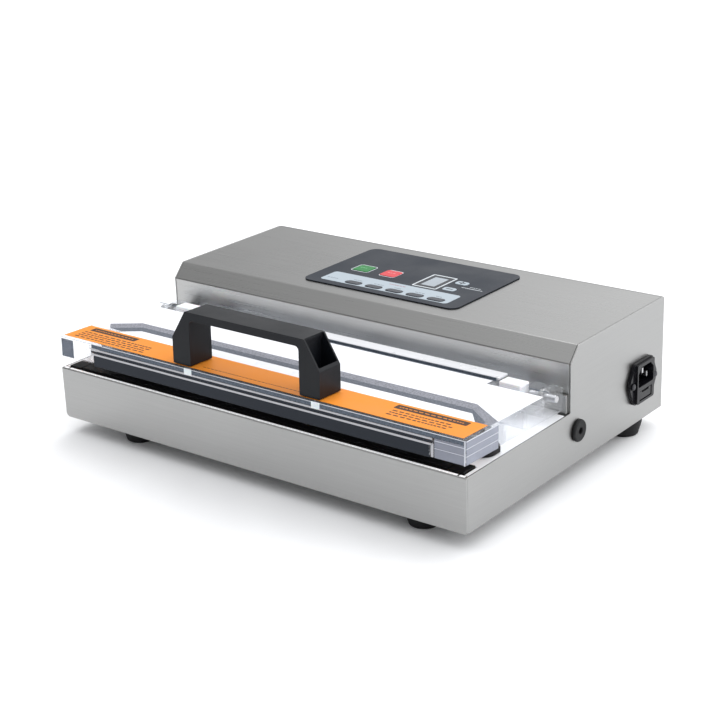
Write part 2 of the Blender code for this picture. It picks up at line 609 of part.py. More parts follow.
def make_controls():
    width, depth = PANEL_RIGHT - PANEL_LEFT, PANEL_REAR - PANEL_FRONT
    middle = ((PANEL_LEFT + PANEL_RIGHT) / 2, (PANEL_FRONT + PANEL_REAR) / 2)
    sheet = rounded_rect(*middle, width, depth, PANEL_R, 6)
    holes = []
    for x, y, w, d, radius in [*KEYS.values(), WINDOW]:
        hole = rounded_rect(x, y, w + 2 * GAP, d + 2 * GAP, radius + GAP)
        holes.append(prism(hole, "Z", PANEL_BASE - 2, PANEL_BASE + 2))
    solid("control_overlay", "overlay", prism(sheet, "Z", PANEL_BASE, PANEL_BASE + PANEL_T), holes)
    slots = {"key_start": "green", "key_stop": "red"}
    for name, (x, y, w, d, radius) in KEYS.items():
        cap = prism(rounded_rect(x, y, w, d, radius), "Z", KEY_BASE, KEY_TOP)
        solid(name, slots.get(name, "pale_key"), cap, origin=(x, y, KEY_TOP))
    x, y, w, d, radius = WINDOW
    glass = prism(rounded_rect(x, y, w, d, radius), "Z", KEY_BASE, PANEL_BASE + PANEL_T)
    solid("display_window", "screen", glass)


def make_control_board():
    """The circuit board with its standoffs, one switch under each key, the display and a plug block."""
    top, sunk = BOARD_TOP, BOARD_TOP - 0.5
    board = box(PANEL_LEFT + 1, PANEL_RIGHT - 1, PANEL_FRONT - 3, PANEL_REAR + 2, top - BOARD_T, top)
    joins = []
    for x in (PANEL_LEFT + 4.5, PANEL_RIGHT - 4.5):
        for y in (PANEL_FRONT, PANEL_REAR - 1.5):
            joins.append(cylinder(STANDOFF_R, "Z", (x, y, 0), sunk, TOP_Z - SHEET - GAP, 12))
    for x, y, *_ in KEYS.values():
        joins.append(cylinder(SWITCH_R, "Z", (x, y, 0), sunk, KEY_BASE - 2 * KEY_TRAVEL, 12))
    x, y, w, d, _ = WINDOW
    display_w, display_d = w + 1, d + 0.6
    joins.append(box(x - display_w / 2, x + display_w / 2, y - display_d / 2, y + display_d / 2,
                     sunk, KEY_BASE - 2 * GAP))
    joins.append(box(PANEL_LEFT + 7, PANEL_LEFT + 19, PANEL_REAR - 32.5, PANEL_REAR - 6.5, sunk, top + 4.4))
    solid("control_board", "board", board, joins=joins)


# ---------------------------------------------------------------- mains inlet and port

def make_inlet():
    """A screwed flange with the appliance socket above and the fuse drawer's slot below."""
    face = BODY_W / 2
    ear, flat = INLET_EAR, 2.6
    corner, half = INLET_W / 2 + 0.6, INLET_H / 2 + 0.8
    flange = [(INLET_Y - ear, INLET_Z - flat), (INLET_Y - corner, INLET_Z - half),
              (INLET_Y + corner, INLET_Z - half), (INLET_Y + ear, INLET_Z - flat),
              (INLET_Y + ear, INLET_Z + flat), (INLET_Y + corner, INLET_Z + half),
              (INLET_Y - corner, INLET_Z + half), (INLET_Y - ear, INLET_Z + flat)]
    flange = fillet(flange, [2, 3, 3, 2, 2, 3, 3, 2], 3)
    plate = prism(flange, "X", face + GAP, face + INLET_FLANGE_T)
    boss = rounded_rect(INLET_Y, INLET_Z, INLET_W, INLET_H, 1.5)
    front = prism(boss, "X", face + INLET_FLANGE_T - 0.5, face + INLET_REACH)
    rear = box(162, face + 1, INLET_Y - 12.1, INLET_Y + 12.1, INLET_Z - 14.5, INLET_Z + 14.5)
    wide, narrow = SOCKET_W / 2, SOCKET_W / 2 - SOCKET_CUT
    shoulder = SOCKET_TOP - SOCKET_CUT
    socket = [(INLET_Y - wide, SOCKET_BASE), (INLET_Y + wide, SOCKET_BASE), (INLET_Y + wide, shoulder),
              (INLET_Y + narrow, SOCKET_TOP), (INLET_Y - narrow, SOCKET_TOP), (INLET_Y - wide, shoulder)]
    slot_half = DRAWER_W / 2 + GAP
    cuts = [prism(fillet(socket, [1.5] * 6, 2), "X", face - 10, face + 10),
            box(face - 15, face + 10, INLET_Y - slot_half, INLET_Y + slot_half,
                DRAWER_BASE - GAP, DRAWER_TOP + GAP)]
    for side in (-1, 1):
        centre = (0, INLET_Y + side * INLET_SCREW_SPAN, INLET_Z)
        cuts.append(cylinder(1.8, "X", centre, face - 1, face + 10, 16))
    solid("power_inlet", "gloss_black", plate, cuts, [front, rear])
    drawer_end = face + INLET_REACH - 0.4
    drawer = box(face - 14.5, drawer_end, INLET_Y - DRAWER_W / 2, INLET_Y + DRAWER_W / 2,
                 DRAWER_BASE, DRAWER_TOP, 0.4)
    grip = box(drawer_end - 1.2, drawer_end + 1, INLET_Y - 5, INLET_Y + 5, DRAWER_TOP - 1.7, DRAWER_TOP + 3)
    middle = (face, INLET_Y, (DRAWER_BASE + DRAWER_TOP) / 2)
    solid("fuse_drawer", "gloss_black", drawer, [grip], origin=middle)
    for side, name in ((-1, "front"), (1, "rear")):
        centre = (0, INLET_Y + side * INLET_SCREW_SPAN, INLET_Z)
        head = face + INLET_FLANGE_T + GAP
        profile = [(0, face - 6), (1.5, face - 6), (1.5, head), (2.5, head),
                   (2.5, head + 0.8), (1.6, head + 1.4), (0, head + 1.4)]
        solid(f"inlet_screw_{name}", "zinc", lathe(profile, "X", centre, 16), smooth=True)


def make_port():
    face = BODY_W / 2
    profile = [(PORT_BORE, face - 9), (4.7, face - 9), (4.7, face + GAP), (PORT_R, face + GAP),
               (PORT_R, face + PORT_T - 0.8), (PORT_R - 0.8, face + PORT_T), (PORT_BORE, face + PORT_T)]
    solid("accessory_port", "black_rubber", lathe(profile, "X", (0, PORT_Y, PORT_Z), 32), smooth=True)


# ---------------------------------------------------------------- drive inside the housing

def make_transformer():
    """Laminated core with its winding front and rear, on a strap with a tab at each side."""
    x, y, base, top = *TRANSFORMER, SHEET + 7 * GAP, TRANSFORMER_TOP
    half_w, half_d = CORE_W / 2, CORE_D / 2
    core = box(x - half_w, x + half_w, y - half_d, y + half_d, base, top, 0.6)
    coil = box(x - half_w + 11, x + half_w - 11, y - half_d - 10, y + half_d + 10, base + 9, top - 9, 1.5)
    tabs = box(x - half_w - 12, x + half_w + 12, y - 8, y + 8, SHEET + GAP, base + 1.2)
    solid("transformer", "lamination", core, joins=[coil, tabs])


def make_pump():
    axis = (0, PUMP_Y, PUMP_Z)
    can = cylinder(MOTOR_R, "X", axis, MOTOR_LEFT, MOTOR_RIGHT, 36)
    cradle = box(MOTOR_LEFT + 8, MOTOR_RIGHT - 8, PUMP_Y - 15, PUMP_Y + 15, SHEET + GAP, 14)
    boss = cylinder(8.0, "X", axis, MOTOR_LEFT - 4, MOTOR_LEFT + 1)
    bore = cylinder(SHAFT_R + GAP, "X", axis, MOTOR_RIGHT - 18, MOTOR_RIGHT + 1)
    solid("pump_motor", "motor_can", can, [bore], [cradle, boss], smooth=True)

    case = box(CRANK_LEFT, CRANK_RIGHT, PUMP_Y - 23, PUMP_Y + 23, SHEET + GAP, CRANK_TOP, 1.0)
    head = box(HEAD_X - HEAD_HALF, HEAD_X + HEAD_HALF, PUMP_Y - HEAD_HALF, PUMP_Y + HEAD_HALF,
               CRANK_TOP - 1, HEAD_TOP, 1.0)
    nose = PUMP_Y - HEAD_HALF - 10
    spigot = cylinder(SPIGOT_R, "Y", (HEAD_X, 0, HEAD_Z), nose, PUMP_Y - 14)
    duct = cylinder(SPIGOT_BORE, "Y", (HEAD_X, 0, HEAD_Z), nose - 1, PUMP_Y - 8, 16)
    crank_room = cylinder(CRANK_ROOM_R, "X", axis, CRANK_LEFT + 5, CRANK_RIGHT + 1, 32)
    bearing = cylinder(SHAFT_R + GAP, "X", axis, CRANK_LEFT - 1, CRANK_LEFT + 6)
    solid("pump_head", "cast_alloy", case, [crank_room, bearing, duct], [head, spigot])

    rod = cylinder(SHAFT_R, "X", axis, MOTOR_RIGHT - 17, CRANK_RIGHT - 6)
    low_side = (0, PUMP_Y, PUMP_Z - ECCENTRIC_THROW)
    eccentric = cylinder(ECCENTRIC_R, "X", low_side, CRANK_LEFT + 10, CRANK_LEFT + 22)
    solid("pump_shaft", "zinc", rod, joins=[eccentric], origin=axis, smooth=True)

    valve_front = nose - VALVE_D
    valve = box(HEAD_X - VALVE_HALF, HEAD_X + VALVE_HALF, valve_front, nose - GAP,
                HEAD_Z - VALVE_HALF, HEAD_Z + VALVE_HALF, 0.8)
    coil = cylinder(8.0, "Z", (HEAD_X, nose - VALVE_D / 2, 0), HEAD_Z + VALVE_HALF - 1, HEAD_Z + 21)
    inlet_end = valve_front - 8
    inlet = cylinder(SPIGOT_R, "Y", (HEAD_X, 0, HEAD_Z), inlet_end, valve_front + 1)
    duct = cylinder(SPIGOT_BORE, "Y", (HEAD_X, 0, HEAD_Z), inlet_end - 2, valve_front + 6, 16)
    solid("solenoid_valve", "black_plastic", valve, [duct], [coil, inlet])
    return inlet_end


def make_hose(end_y):
    """A tube from the trough's spigot under the deck and up to the valve."""
    start = TROUGH_REAR + 12.5 + GAP
    route = [(SPIGOT_X, start, SPIGOT_Z), (SPIGOT_X, 88, 28), (58, 106, 27.5), (55, 122, 28),
             (52, 134, 32), (50, 142, 44), (HEAD_X, 148, 53), (HEAD_X, 155, HEAD_Z),
             (HEAD_X, end_y - GAP, HEAD_Z)]
    points = [part_frame(point) for point in route]
    samples = []
    for i in range(len(points) - 1):
        before = points[max(i - 1, 0)]
        after = points[min(i + 2, len(points) - 1)]
        a, b = points[i], points[i + 1]
        for step in range(6):
            t = step / 6
            samples.append(0.5 * (2 * a + (b - before) * t + (2 * before - 5 * a + 4 * b - after) * t ** 2
                                  + (3 * a - before - 3 * b + after) * t ** 3))
    samples.append(points[-1])
    curve = bpy.data.curves.new("vacuum_hose", "CURVE")
    curve.dimensions = "3D"
    spline = curve.splines.new("POLY")
    spline.points.add(len(samples) - 1)
    for point, sample in zip(spline.points, samples):
        point.co = (*sample, 1.0)
    curve.bevel_depth = SPIGOT_R * MM
    curve.bevel_resolution = 2
    curve.use_fill_caps = True
    obj = bpy.data.objects.new("vacuum_hose", curve)
    bpy.context.scene.collection.objects.link(obj)
    curve.materials.append(material("hose"))


def main():
    clear_scene()
    make_side_panels()
    make_front_panel()
    make_deck()
    make_housing_cover()
    make_rear_panel()
    make_bottom_plate()
    make_feet()
    make_trough()
    make_deck_gasket()
    make_seal_bar()
    pivot = make_pivot()
    make_lid_shell(pivot)
    make_lid_seals(pivot)
    make_handle(pivot)
    make_lid_trim(pivot)
    make_hinges()
    make_controls()
    make_control_board()
    make_inlet()
    make_port()
    make_transformer()
    make_hose(make_pump())


main()
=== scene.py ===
import json
import math

import bmesh
import bpy
from mathutils import Matrix, Vector

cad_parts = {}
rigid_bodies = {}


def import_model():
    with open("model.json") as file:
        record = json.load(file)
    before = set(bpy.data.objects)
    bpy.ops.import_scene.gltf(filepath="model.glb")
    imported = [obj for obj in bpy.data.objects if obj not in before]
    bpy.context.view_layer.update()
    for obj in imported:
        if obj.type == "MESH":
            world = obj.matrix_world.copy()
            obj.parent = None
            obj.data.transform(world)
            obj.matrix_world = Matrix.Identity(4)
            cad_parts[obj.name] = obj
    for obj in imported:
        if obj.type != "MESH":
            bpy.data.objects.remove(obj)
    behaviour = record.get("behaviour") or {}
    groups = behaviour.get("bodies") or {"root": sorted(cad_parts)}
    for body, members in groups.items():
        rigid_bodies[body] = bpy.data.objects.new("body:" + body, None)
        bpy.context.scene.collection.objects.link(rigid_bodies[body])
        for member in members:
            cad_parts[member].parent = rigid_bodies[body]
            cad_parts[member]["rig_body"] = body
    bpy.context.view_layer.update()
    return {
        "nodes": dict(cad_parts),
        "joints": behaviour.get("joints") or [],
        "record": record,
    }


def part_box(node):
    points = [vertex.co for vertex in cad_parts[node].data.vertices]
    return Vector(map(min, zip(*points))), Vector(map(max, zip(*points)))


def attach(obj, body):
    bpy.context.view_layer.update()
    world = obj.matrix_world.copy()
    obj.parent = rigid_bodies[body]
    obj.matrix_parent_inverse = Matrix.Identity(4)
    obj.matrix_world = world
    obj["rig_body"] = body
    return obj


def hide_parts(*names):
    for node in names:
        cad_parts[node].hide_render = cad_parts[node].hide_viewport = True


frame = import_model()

MM = 0.001

FRONT_LOW, FRONT_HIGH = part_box("front_panel")
CASE = Vector(((FRONT_LOW.x + FRONT_HIGH.x) / 2, FRONT_LOW.y, FRONT_LOW.z))
JOINTS = {joint["name"]: joint for joint in frame["joints"]}
HINGE = Vector(JOINTS["lid_hinge"]["pos_m"])
LID_REST = -math.radians(JOINTS["lid_hinge"]["range_deg"][0])
LID = Matrix.Translation(HINGE) @ Matrix.Rotation(-LID_REST, 4, "X") @ Matrix.Translation(-HINGE)
SLOT_OF = {part["node"]: part["material_slot"] for part in frame["record"]["subparts"]}

# Camera
CAMERA_PLACE = (0.72644, -0.92421, 0.49437)
CAMERA_AZIMUTH, CAMERA_ELEVATION, CAMERA_ROLL = 38.141, 20.604, -2.037
CAMERA_LENS = 82.8

# Lid label and control panel
LABEL = (-182.5, 181.0, 3.2, 30.8)
LABEL_THICK = 0.2
LID_TOP, LID_SIDE = 61.9, 184.8
PANEL_TOP = (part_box("control_overlay")[1].z - CASE.z) / MM
FILM = 0.05                  # thickness of a printed layer
ON_LID, ON_PANEL = LID_TOP + 0.04, PANEL_TOP + 0.01
PROGRAM_KEYS, PROGRAM_X, PROGRAM_PITCH, PROGRAM_Y = 5, -29.9, 19.3, 164.3

# Edges and grain
SHARP = math.radians(32)
FLAT = math.radians(0.5)
PIERCED = ("rear_panel", "bottom_plate")         # a face with slots keeps its triangles
ALONG_X, ALONG_Y = (0.012, 1.0, 1.0), (1.0, 0.012, 1.0)


def at(x, y, z=0.0):
    """Casing millimetres to metres in the shared frame."""
    return CASE + Vector((x, y, z)) * MM


# ---------------------------------------------------------------- materials

def new_material(name, colour, roughness, metallic=0.0, **sockets):
    made = bpy.data.materials.new(name)
    made.use_nodes = True
    shader = made.node_tree.nodes["Principled BSDF"]
    shader.inputs["Base Color"].default_value = (*colour, 1.0)
    shader.inputs["Roughness"].default_value = roughness
    shader.inputs["Metallic"].default_value = metallic
    for socket, value in sockets.items():
        shader.inputs[socket.replace("_", " ")].default_value = value
    return made


def noise(tree, scale, detail=2.0, stretch=(1.0, 1.0, 1.0)):
    """Noise fixed to the object; scale is in cycles per metre, times stretch along each axis."""
    place = tree.nodes.new("ShaderNodeTexCoord")
    mapping = tree.nodes.new("ShaderNodeMapping")
    mapping.inputs["Scale"].default_value = stretch
    pattern = tree.nodes.new("ShaderNodeTexNoise")
    pattern.inputs["Scale"].default_value = scale
    pattern.inputs["Detail"].default_value = detail
    tree.links.new(place.outputs["Object"], mapping.inputs["Vector"])
    tree.links.new(mapping.outputs["Vector"], pattern.inputs["Vector"])
    return pattern.outputs["Fac"]


def spread(tree, value, low, high, start=0.3, end=0.7):
    """Map a noise value to a range."""
    node = tree.nodes.new("ShaderNodeMapRange")
    node.inputs["From Min"].default_value = start
    node.inputs["From Max"].default_value = end
    node.inputs["To Min"].default_value = low
    node.inputs["To Max"].default_value = high
    tree.links.new(value, node.inputs["Value"])
    return node.outputs["Result"]


def tint(tree, value, dark, light):
    node = tree.nodes.new("ShaderNodeMix")
    node.data_type = "RGBA"
    node.inputs["A"].default_value = (*dark, 1.0)
    node.inputs["B"].default_value = (*light, 1.0)
    tree.links.new(value, node.inputs["Factor"])
    return node.outputs["Result"]


def bump(tree, value, strength, distance):
    node = tree.nodes.new("ShaderNodeBump")
    node.inputs["Strength"].default_value = strength
    node.inputs["Distance"].default_value = distance
    tree.links.new(value, node.inputs["Height"])
    return node.outputs["Normal"]


def scaled(colour, factor):
    return tuple(min(1.0, channel * factor) for channel in colour)


def textured(name, colour, roughness, metallic=0.0, grain=1500.0, depth=0.00003, strength=0.25,
             variation=0.12, **sockets):
    """A material with fine grain in its surface and slow changes in colour and gloss."""
    made = new_material(name, colour, roughness, metallic, **sockets)
    tree = made.node_tree
    shader = tree.nodes["Principled BSDF"]
    fine = noise(tree, grain, 3.0)
    slow = noise(tree, 28.0, 3.0)
    tone = tint(tree, spread(tree, slow, 0.0, 1.0),
                scaled(colour, 1 - variation), scaled(colour, 1 + variation))
    tree.links.new(tone, shader.inputs["Base Color"])
    gloss = spread(tree, slow, roughness - 0.08, roughness + 0.08)
    tree.links.new(gloss, shader.inputs["Roughness"])
    tree.links.new(bump(tree, fine, strength, depth), shader.inputs["Normal"])
    return made


def brushed_steel(name, colour, roughness, stretch, upright_painted_light=1.0):
    """Steel with long fine scratches along one axis, coarser streaks and faint smears.

    Faces that don't point up take the colour times the last argument: painted light on vertical faces, set
    by their facing rather than by the lamps.
    """
    made = new_material(name, colour, roughness, 1.0)
    tree = made.node_tree
    shader = tree.nodes["Principled BSDF"]
    fine = noise(tree, 1.0, 3.0, tuple(3200.0 * s for s in stretch))
    coarse = noise(tree, 1.0, 2.0, tuple(1100.0 * s for s in stretch))
    smear = noise(tree, 9.0, 4.0)
    both = tree.nodes.new("ShaderNodeMath")
    both.operation = "MULTIPLY_ADD"
    tree.links.new(fine, both.inputs[0])
    both.inputs[1].default_value = 0.6
    tree.links.new(spread(tree, coarse, 0.05, 0.35), both.inputs[2])
    streaks = both.outputs["Value"]
    tone = tint(tree, spread(tree, streaks, 0.0, 1.0, 0.25, 0.75),
                scaled(colour, 0.95), scaled(colour, 1.05))
    # painted light: the colour is scaled by how little the face points up, fully on vertical faces
    if upright_painted_light != 1.0:
        place, parts = tree.nodes.new("ShaderNodeTexCoord"), tree.nodes.new("ShaderNodeSeparateXYZ")
        tree.links.new(place.outputs["Normal"], parts.inputs["Vector"])
        painted_lift = tree.nodes.new("ShaderNodeVectorMath")
        painted_lift.operation = "SCALE"
        tree.links.new(tone, painted_lift.inputs[0])
        tree.links.new(spread(tree, parts.outputs["Z"], upright_painted_light, 1.0, 0.1, 0.5), painted_lift.inputs["Scale"])
        tone = painted_lift.outputs["Vector"]
    tree.links.new(tone, shader.inputs["Base Color"])
    gloss = tree.nodes.new("ShaderNodeMath")
    gloss.operation = "ADD"
    tree.links.new(spread(tree, streaks, -0.05, 0.06, 0.25, 0.75), gloss.inputs[0])
    tree.links.new(spread(tree, smear, roughness - 0.03, roughness + 0.05), gloss.inputs[1])
    tree.links.new(gloss.outputs["Value"], shader.inputs["Roughness"])
    tree.links.new(bump(tree, streaks, 0.15, 0.00003), shader.inputs["Normal"])
    return made


def clear_acrylic(name, colour, roughness, share, passing=0.72):
    """Moulded plastic with faint haze.

    Share is how much of it is seen straight through, and passing how clear the rest is.
    """
    made = new_material(name, colour, roughness, Transmission_Weight=passing, IOR=1.3,
                        Specular_IOR_Level=0.15)
    tree = made.node_tree
    shader = tree.nodes["Principled BSDF"]
    haze = noise(tree, 60.0, 5.0)
    tree.links.new(spread(tree, haze, roughness * 0.3, roughness * 1.7), shader.inputs["Roughness"])
    opening = tree.nodes.new("ShaderNodeBsdfTransparent")
    opening.inputs["Color"].default_value = (0.985, 0.99, 1.0, 1.0)
    light = tree.nodes.new("ShaderNodeLightPath")
    blend = tree.nodes.new("ShaderNodeMixShader")
    blend.inputs[0].default_value = share
    tree.links.new(shader.outputs["BSDF"], blend.inputs[1])
    tree.links.new(opening.outputs["BSDF"], blend.inputs[2])
    bounced, lamps = tree.nodes.new("ShaderNodeMixShader"), tree.nodes.new("ShaderNodeMixShader")
    tree.links.new(light.outputs["Is Diffuse Ray"], bounced.inputs[0])
    tree.links.new(blend.outputs["Shader"], bounced.inputs[1])
    tree.links.new(opening.outputs["BSDF"], bounced.inputs[2])
    tree.links.new(light.outputs["Is Shadow Ray"], lamps.inputs[0])
    tree.links.new(bounced.outputs["Shader"], lamps.inputs[1])
    tree.links.new(opening.outputs["BSDF"], lamps.inputs[2])
    tree.links.new(lamps.outputs["Shader"], tree.nodes["Material Output"].inputs["Surface"])
    return made


def foam(name, colour):
    """Foam rubber with small open cells."""
    made = new_material(name, colour, 0.85)
    tree = made.node_tree
    shader = tree.nodes["Principled BSDF"]
    cells = tree.nodes.new("ShaderNodeTexVoronoi")
    cells.inputs["Scale"].default_value = 900.0
    place = tree.nodes.new("ShaderNodeTexCoord")
    tree.links.new(place.outputs["Object"], cells.inputs["Vector"])
    tone = tint(tree, spread(tree, cells.outputs["Distance"], 0.0, 1.0, 0.1, 0.6),
                scaled(colour, 0.7), scaled(colour, 1.5))
    tree.links.new(tone, shader.inputs["Base Color"])
    tree.links.new(bump(tree, cells.outputs["Distance"], 0.5, 0.0002), shader.inputs["Normal"])
    return made


def make_materials():
    steel = (0.355, 0.355, 0.35)
    film = (0.022, 0.027, 0.037)
    dull = {"Specular_IOR_Level": 0.25}
    return {
        "steel_x": brushed_steel("steel_grain_x", steel, 0.30, ALONG_X),
        # front panel: the same steel painted 1.08 times lighter, painted light
        "steel_front_painted_lighter": brushed_steel("steel_front_painted_lighter", scaled(steel, 1.08), 0.34, ALONG_X),
        # housing cover: painted shade on its top (0.82 of the steel's tone) and painted light on its
        # vertical faces (1.55 times that)
        "steel_cover_painted_light_and_shade": brushed_steel("steel_cover_painted_light_and_shade", scaled(steel, 0.82), 0.30, ALONG_X, 1.55),
        "steel_y": brushed_steel("steel_grain_y", steel, 0.34, ALONG_Y),
        # painted highlight: white that glows a little, though it is no lamp, for the front panel's lit lip
        "painted_highlight_glow": new_material("painted_highlight_glow", (0.92, 0.93, 0.95), 0.3,
                                    Emission_Color=(1.0, 1.0, 1.0, 1.0), Emission_Strength=0.3),
        # painted edge lines: light grey strips along the clear lid's edges, painted highlights on the dark
        # corner panes and painted shade lines on the whitish top
        "painted_edge_lines": textured("painted_edge_lines", (0.62, 0.64, 0.70), 0.3, variation=0.05),
        "bright_trim": brushed_steel("bright_trim", (0.42, 0.42, 0.44), 0.3, ALONG_X),
        "dark_bar": brushed_steel("dark_bar", (0.034, 0.038, 0.046), 0.42, ALONG_X),
        "white_deck": textured("white_deck", (0.90, 0.91, 0.93), 0.35, grain=900, variation=0.02),
        "zinc": textured("zinc_plate", (0.50, 0.50, 0.51), 0.32, 1.0, variation=0.08),
        "dark_screw": textured("dark_screw", (0.05, 0.05, 0.055), 0.35, 1.0, variation=0.1),
        "clear": clear_acrylic("clear_acrylic", (0.975, 0.985, 1.0), 0.03, 0.80),
        # painted light: a whitish, mostly opaque layer that brightens the lid top
        "painted_light_veil": clear_acrylic("painted_light_veil_acrylic", (0.93, 0.94, 0.98), 0.4, 0.25, 0.0),
        # painted shade: grey-blue panes that darken the clear lid's front-right corner and right side
        "painted_shade_pane": clear_acrylic("painted_shade_acrylic", (0.30, 0.315, 0.37), 0.3, 0.3, 0.0),
        # painted shade: a darker blue pane at the clear lid's front-left corner
        "painted_dark_shade_pane": clear_acrylic("painted_dark_shade_acrylic", (0.07, 0.09, 0.13), 0.3, 0.3, 0.0),
        "frosted": textured("frosted_acrylic", (0.90, 0.91, 0.94), 0.3, grain=900, variation=0.02,
                            Transmission_Weight=0.15),
        "white_plastic": textured("white_nylon", (0.9, 0.9, 0.91), 0.4, variation=0.02,
                                  Subsurface_Weight=0.15, Subsurface_Scale=0.004),
        "handle": textured("handle_black", (0.005, 0.0063, 0.009), 0.45, grain=2600, depth=0.00004,
                           strength=0.35, **dull),
        "bed": textured("bed_black", (0.0035, 0.0035, 0.004), 0.5, grain=2000, Specular_IOR_Level=0.15),
        "rubber": textured("black_rubber", (0.009, 0.009, 0.010), 0.62, grain=1800, strength=0.35, **dull),
        "gloss_black": textured("inlet_black", (0.006, 0.006, 0.008), 0.25, grain=3000, strength=0.06,
                                **dull),
        "light_foam": foam("light_foam", (0.175, 0.18, 0.205)),
        # grey foam of the lid gasket; also the darker band on the lid top, partly painted shade
        "grey_foam": foam("grey_foam", (0.085, 0.095, 0.115)),
        # slate foam for the lid's front foam strip; the same material also draws painted shade lines at the
        # rear strip
        "slate_foam_and_painted_shade": foam("slate_foam_and_painted_shade", (0.075, 0.092, 0.118)),
        "label": textured("label_orange", (0.80, 0.265, 0.03), 0.45, grain=700, variation=0.03,
                          Specular_IOR_Level=0.15),
        "label_ink": textured("label_ink", (0.045, 0.022, 0.012), 0.5, variation=0.3, **dull),
        "film": textured("panel_film", film, 0.42, grain=3500, strength=0.2, variation=0.06,
                         Specular_IOR_Level=0.12),
        "film_dark": textured("panel_dark", (0.018, 0.021, 0.028), 0.4, grain=3500, variation=0.06, **dull),
        "key_grey": textured("key_grey", (0.045, 0.051, 0.063), 0.36, grain=3500, variation=0.06, **dull),
        "band": textured("panel_band", (0.38, 0.44, 0.49), 0.42, grain=3500, variation=0.03, **dull),
        "white_ink": textured("white_ink", (0.56, 0.60, 0.63), 0.45, variation=0.04, **dull),
        "grey_ink": textured("grey_ink", (0.12, 0.14, 0.17), 0.45, variation=0.1, **dull),
        "red_ink": textured("red_ink", (0.36, 0.13, 0.16), 0.45, variation=0.1, **dull),
        "green": textured("key_green", (0.008, 0.18, 0.034), 0.38, grain=3500, variation=0.08, **dull),
        "green_light": textured("key_green_light", (0.13, 0.42, 0.18), 0.38, variation=0.05, **dull),
        "red": textured("key_red", (0.60, 0.045, 0.057), 0.38, grain=3500, variation=0.06, **dull),
        "red_light": textured("key_red_light", (0.68, 0.22, 0.23), 0.38, variation=0.05, **dull),
        "screen": textured("display_pale", (0.34, 0.38, 0.42), 0.2, grain=400, variation=0.12, **dull),
        "board": textured("circuit_board", (0.02, 0.17, 0.06), 0.45),
        "lamination": textured("lamination", (0.18, 0.18, 0.19), 0.5, 0.8),
        "motor_can": textured("motor_can", (0.34, 0.34, 0.35), 0.4, 1.0),
        "cast_alloy": textured("cast_alloy", (0.45, 0.45, 0.46), 0.5, 1.0, grain=600, strength=0.5),
        "hose": textured("silicone_hose", (0.50, 0.52, 0.53), 0.35, variation=0.05),
        "nichrome": textured("nichrome", (0.30, 0.29, 0.27), 0.4, 1.0, variation=0.2),
    }


# ---------------------------------------------------------------- pieces

def finish_mesh(obj, body, shown_as, bevel, steps):
    obj.data.materials.clear()
    obj.data.materials.append(MATERIALS[shown_as])
    obj.data.shade_smooth()
    obj.data.set_sharp_from_angle(angle=SHARP)
    if bevel > 0:
        modifier = obj.modifiers.new("edges", "BEVEL")
        modifier.width = bevel * MM
        modifier.segments = steps
        modifier.limit_method = "ANGLE"
        modifier.angle_limit = SHARP
        modifier.miter_outer = "MITER_ARC"
        smooth = obj.modifiers.new("normals", "WEIGHTED_NORMAL")
        smooth.weight = 100
        smooth.keep_sharp = False
    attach(obj, body)
    return obj


def refine(node, shown_as, bevel=0.3, steps=2):
    """A piece with a CAD node's shape, with its sharp edges rounded."""
    source = frame["nodes"][node]
    bm = bmesh.new()
    bm.from_mesh(source.data)
    bmesh.ops.remove_doubles(bm, verts=bm.verts[:], dist=1e-6)
    if node not in PIERCED:
        bmesh.ops.dissolve_limit(bm, angle_limit=FLAT, verts=bm.verts[:], edges=bm.edges[:])
    mesh = bpy.data.meshes.new(f"{node}_finished")
    bm.to_mesh(mesh)
    bm.free()
    obj = bpy.data.objects.new(f"{node}_finished", mesh)
    bpy.context.scene.collection.objects.link(obj)
    finish_mesh(obj, source["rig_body"], shown_as, bevel, steps)
    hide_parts(node)
    return obj


def piece(name, bm, body, shown_as, bevel=0.0, on_lid=False):
    """A new piece from a bmesh in casing millimetres."""
    for vert in bm.verts:
        vert.co = at(*vert.co)
        if on_lid:
            vert.co = LID @ vert.co
    bmesh.ops.recalc_face_normals(bm, faces=bm.faces[:])
    mesh = bpy.data.meshes.new(name)
    bm.to_mesh(mesh)
    bm.free()
    obj = bpy.data.objects.new(name, mesh)
    bpy.context.scene.collection.objects.link(obj)
    return finish_mesh(obj, body, shown_as, bevel, 2)


def extrude(bm, outline, axis, low, high):
    """Add a prism to a bmesh; an outline's points are the other two axes in X, Y, Z order."""
    order = {"X": (2, 0, 1), "Y": (0, 2, 1), "Z": (0, 1, 2)}[axis]
    lower, upper = ([bm.verts.new([(*point, position)[i] for i in order]) for point in outline]
                    for position in (low, high))
    bm.faces.new(lower)
    bm.faces.new(list(reversed(upper)))
    for i in range(len(outline)):
        j = (i + 1) % len(outline)
        bm.faces.new((lower[i], upper[i], upper[j], lower[j]))
    return bm


def block(bm, x0, x1, y0, y1, z0, z1):
    return extrude(bm, [(x0, y0), (x1, y0), (x1, y1), (x0, y1)], "Z", z0, z1)


def arc(cx, cy, radius, start, end, steps):
    points = []
    for i in range(steps + 1):
        angle = math.radians(start + (end - start) * i / steps)
        points.append((cx + radius * math.cos(angle), cy + radius * math.sin(angle)))
    return points


def rounded(cx, cy, width, depth, radius, steps=6):
    points = []
    for sx, sy, start in ((1, -1, -90), (1, 1, 0), (-1, 1, 90), (-1, -1, 180)):
        corner_x = cx + sx * (width / 2 - radius)
        corner_y = cy + sy * (depth / 2 - radius)
        points += arc(corner_x, corner_y, radius, start, start + 90, steps)
    return points


